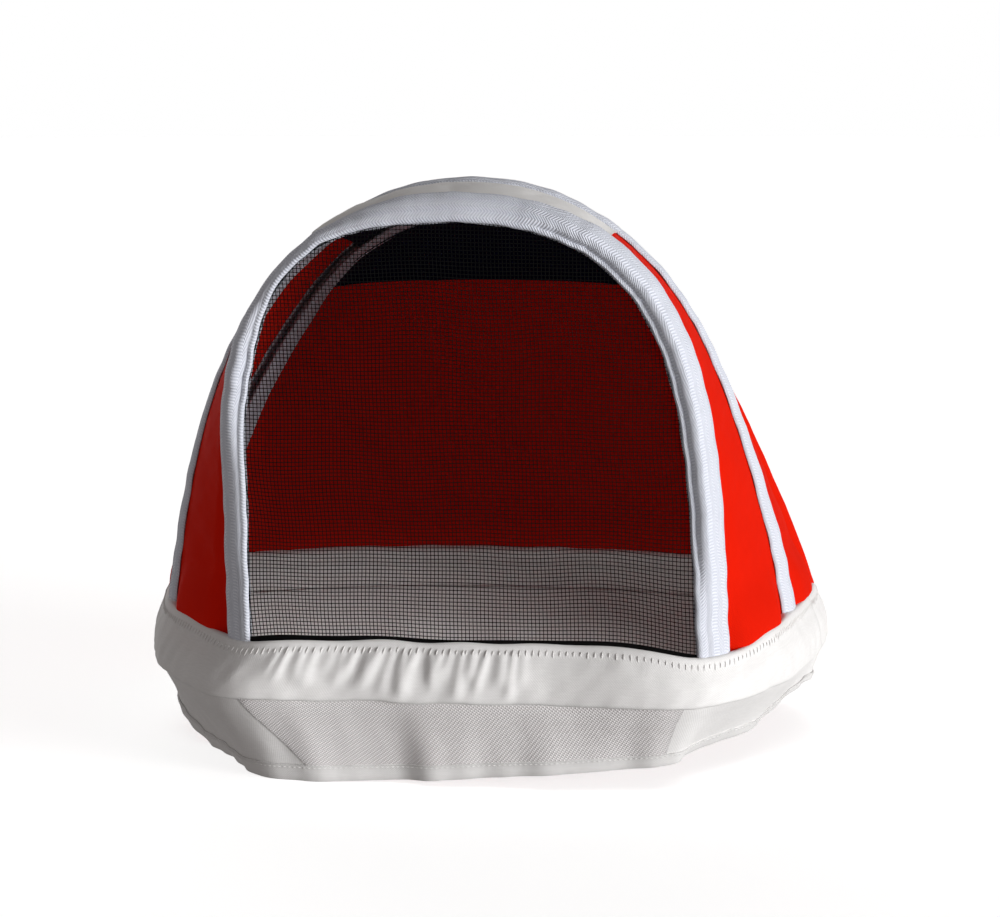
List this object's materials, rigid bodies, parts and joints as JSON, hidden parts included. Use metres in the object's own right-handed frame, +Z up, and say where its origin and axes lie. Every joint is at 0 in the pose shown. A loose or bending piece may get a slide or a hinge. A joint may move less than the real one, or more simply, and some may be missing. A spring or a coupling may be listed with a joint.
{
  "type": "beekeeping hood",
  "caption": "Detachable beekeeping hood with a square net veil, three spring hoops, red gores, a canvas collar and a skirt; it presses flat front to back.",
  "frame": {"origin": "centre of the overall box on the surface that the hem stands on", "axes": "+X towards the wearer's left, +Y towards the back of the head, +Z up; the veil faces -Y"},
  "size_m": [0.4452, 0.3593, 0.3632],
  "materials": {
    "canvas": "plain woven cotton canvas, washed",
    "tape": "herringbone cotton tape",
    "red_cotton": "plain woven cotton, slight sheen",
    "navy_lining": "thin polyester lining",
    "black_net": "fine square polyester net",
    "knit": "white diamond knit",
    "spring_steel": "flat satin",
    "cap_plastic": "moulded"
  },
  "bodies": {
    "collar": {"collar_front": "canvas", "collar_back": "canvas", "skirt_front": "knit", "skirt_left": "canvas", "skirt_right": "canvas", "skirt_back": "canvas", "hem_band": "canvas", "middle_hoop": "spring_steel", "middle_foot_caps": "cap_plastic", "middle_tape_outer": "tape", "middle_tape_inner": "tape", "front_gore_left": "red_cotton", "front_gore_right": "red_cotton", "crown_front": "canvas", "crown_lining_front": "navy_lining"},
    "front_frame": {"front_hoop": "spring_steel", "front_foot_caps": "cap_plastic", "front_tape_outer": "tape", "front_tape_inner": "tape", "veil_net": "black_net", "veil_binding": "black_net"},
    "rear_frame": {"rear_hoop": "spring_steel", "rear_foot_caps": "cap_plastic", "rear_tape_outer": "tape", "rear_tape_inner": "tape", "rear_gore_left": "red_cotton", "rear_gore_right": "red_cotton", "crown_rear": "canvas", "crown_lining_rear": "navy_lining", "back_panel": "red_cotton", "crown_cap": "canvas", "crown_cap_lining": "navy_lining"}
  },
  "joints": [
    {"name": "front_hoop_slide", "type": "slide", "parent": "collar", "child": "front_frame", "axis": [0, 1, 0], "range_m": [0, 0.0728], "deforming": ["collar_front", "skirt_front", "skirt_left", "skirt_right", "front_gore_left", "front_gore_right", "crown_front", "crown_lining_front"]},
    {"name": "rear_hoop_slide", "type": "slide", "parent": "collar", "child": "rear_frame", "axis": [0, -1, 0], "range_m": [0, 0.0728], "deforming": ["collar_back", "skirt_back", "hem_band", "rear_gore_left", "rear_gore_right", "crown_rear", "crown_lining_rear", "back_panel", "crown_cap", "crown_cap_lining"]}
  ],
  "couplings": [
    {"joint": "rear_hoop_slide", "follows": "front_hoop_slide", "ratio": 1}
  ]
}
